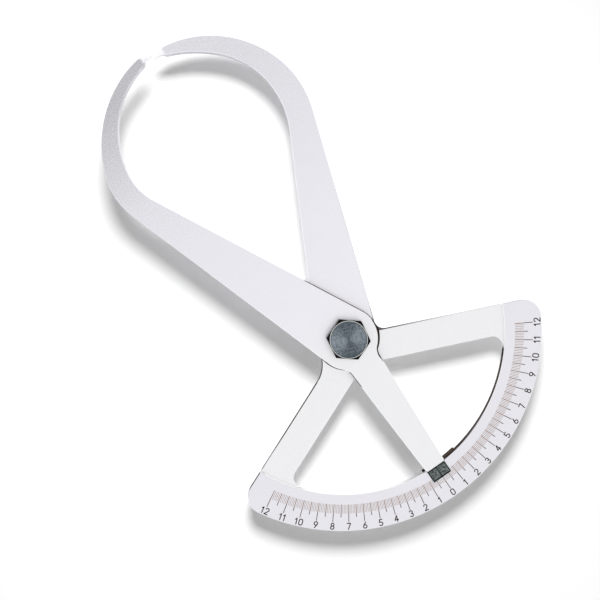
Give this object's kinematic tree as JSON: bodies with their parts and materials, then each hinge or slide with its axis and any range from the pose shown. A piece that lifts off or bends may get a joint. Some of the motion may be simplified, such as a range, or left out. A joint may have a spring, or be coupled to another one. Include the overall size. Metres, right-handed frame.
{
  "type": "outside caliper",
  "caption": "Outside caliper: two bowed flat steel legs on a hexagon-headed pivot bolt, one with a quadrant scale, the other with an arm and index plate that reads the jaw opening.",
  "frame": {"origin": "centre of the pivot bolt's tail end, on the pivot axis", "axes": "+Z along the pivot axis from the bolt's tail to its head, +Y towards the points of the closed jaws, +X towards the scale leg's jaw"},
  "size_m": [0.1328, 0.1956, 0.0187],
  "materials": {
    "satin_chrome": "satin",
    "blackened_steel": "turned and blackened",
    "dark_index_steel": "dull",
    "bronze": "dull",
    "plain_steel": "bright"
  },
  "bodies": {
    "scale_side": {"scale_leg": "satin_chrome", "pivot_bolt": "blackened_steel", "pivot_nut": "blackened_steel", "disc_spring": "blackened_steel", "back_washer": "plain_steel", "friction_washer": "bronze"},
    "pointer_side": {"pointer_leg": "satin_chrome", "index_plate": "dark_index_steel", "guide_shoe": "bronze", "guide_screw_inner": "plain_steel", "guide_screw_outer": "plain_steel"}
  },
  "joints": [
    {"name": "pivot", "type": "hinge", "parent": "scale_side", "child": "pointer_side", "pos_m": [0, 0, 0.0126], "axis": [0, 0, 1], "range_deg": [-60, 60]}
  ]
}
